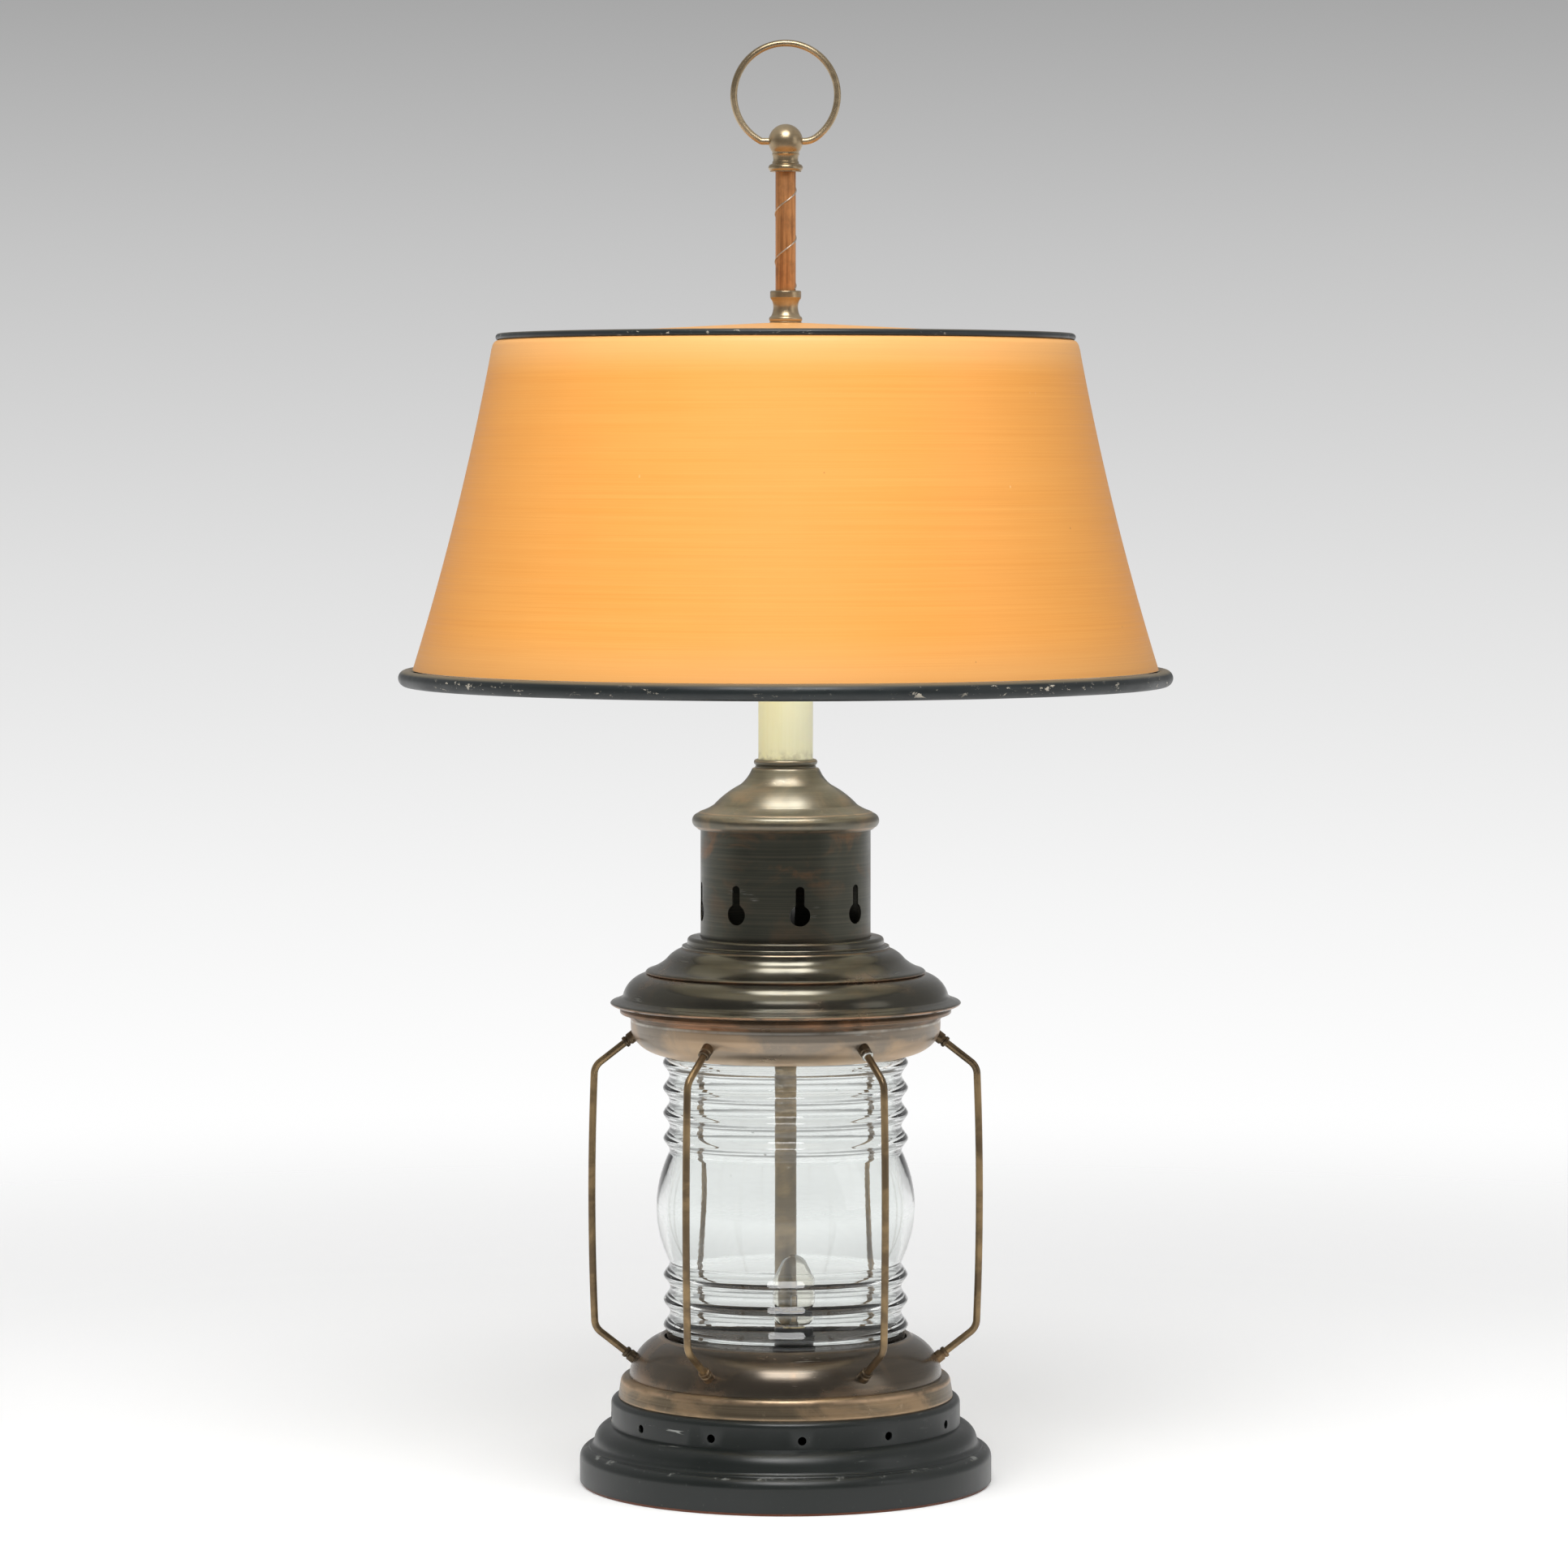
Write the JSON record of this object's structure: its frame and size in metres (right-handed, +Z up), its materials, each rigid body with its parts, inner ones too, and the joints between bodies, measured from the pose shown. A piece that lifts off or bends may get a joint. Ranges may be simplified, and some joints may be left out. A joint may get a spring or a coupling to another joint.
{
  "type": "table lamp",
  "caption": "Electric table lamp shaped like a ship's oil lantern: ribbed clear globe in wire guards, vented chimney, candle sleeve, wide flared metal shade and ringed finial.",
  "frame": {"origin": "centre of the felt's underside, on the stem's axis", "axes": "+Z up along the stem, the front faces -Y, +X is the right-hand side seen from the front"},
  "size_m": [0.4275, 0.4276, 0.798],
  "materials": {
    "felt": "felt",
    "board": "plain",
    "iron": "rough",
    "plinth_black": "satin",
    "black_plastic": "matte",
    "band_brass": "worn patina",
    "gallery_bronze": "dark patina",
    "bowl_copper": "worn patina",
    "gasket": "matte",
    "globe_glass": "clear",
    "guard_brass": "antique",
    "ferrule_brass": "antique",
    "brim_copper": "worn patina",
    "hood_bronze": "dark gloss patina",
    "chimney_bronze": "dark patina",
    "sleeve_cream": "smooth",
    "steel": "zinc plated",
    "sheath_brass": "satin",
    "cap_brass": "bright",
    "bulb_clear": "clear",
    "filament": "wire",
    "cluster_brass": "satin",
    "liner_card": "plain",
    "cap_aluminium": "satin",
    "bulb_white": "frosted",
    "shade_orange": "brushed enamel",
    "bead_dark": "worn",
    "finial_brass": "antique satin",
    "spiral_copper": "satin copper",
    "inlay_silver": "bright"
  },
  "bodies": {
    "lamp": {"foot_felt": "felt", "bottom_board": "board", "base_weight": "iron", "foot_plinth": "plinth_black", "cord_bushing": "black_plastic", "base_band": "band_brass", "lower_gallery": "gallery_bronze", "lower_gasket": "gasket", "globe_glass": "globe_glass", "upper_gasket": "gasket", "guard_wire_1": "guard_brass", "guard_wire_2": "guard_brass", "guard_wire_3": "guard_brass", "guard_wire_4": "guard_brass", "guard_wire_5": "guard_brass", "guard_wire_6": "guard_brass", "guard_ferrules_lower": "ferrule_brass", "guard_ferrules_upper": "ferrule_brass", "upper_gallery": "bowl_copper", "brim_ring": "brim_copper", "hood_dome": "hood_bronze", "hood_cowl": "hood_bronze", "chimney_foot_ring": "hood_bronze", "chimney": "chimney_bronze", "chimney_cap": "chimney_bronze", "cap_collar": "chimney_bronze", "candle_sleeve": "sleeve_cream", "stem_pipe": "steel", "stem_sheath": "sheath_brass", "stem_nuts": "steel", "night_light_bracket": "steel", "night_light_socket": "black_plastic", "night_light_cap": "cap_brass", "night_light_bulb": "bulb_clear", "night_light_filament": "filament", "cluster_body": "cluster_brass", "cluster_cover": "cluster_brass", "switch_case": "black_plastic", "lampholder_left": "cluster_brass", "lampholder_right": "cluster_brass", "liner_left": "liner_card", "liner_right": "liner_card", "bulb_cap_left": "cap_aluminium", "bulb_cap_right": "cap_aluminium", "main_bulb_left": "bulb_white", "main_bulb_right": "bulb_white", "riser_rod": "cluster_brass", "shade_seat": "cluster_brass", "finial_spool": "finial_brass", "spiral_tube": "spiral_copper", "spiral_inlay": "inlay_silver", "finial_ball": "finial_brass"},
    "shade": {"shade_shell": "shade_orange", "shade_lid": "shade_orange", "shade_top_bead": "bead_dark", "shade_bottom_bead": "bead_dark"},
    "knob": {"switch_shaft": "steel", "switch_knob": "black_plastic"},
    "ring": {"finial_ring": "finial_brass"}
  },
  "joints": [
    {"name": "ring_swing", "type": "hinge", "parent": "lamp", "child": "ring", "pos_m": [0, 0, 0.7424], "axis": [1, 0, 0], "range_deg": [-165, 165]},
    {"name": "shade_turn", "type": "hinge", "parent": "lamp", "child": "shade", "pos_m": [0, 0, 0.6421], "axis": [0, 0, 1], "continuous": true},
    {"name": "switch_turn", "type": "hinge", "parent": "lamp", "child": "knob", "pos_m": [0, -0.03, 0.496], "axis": [0, -1, 0], "continuous": true}
  ]
}
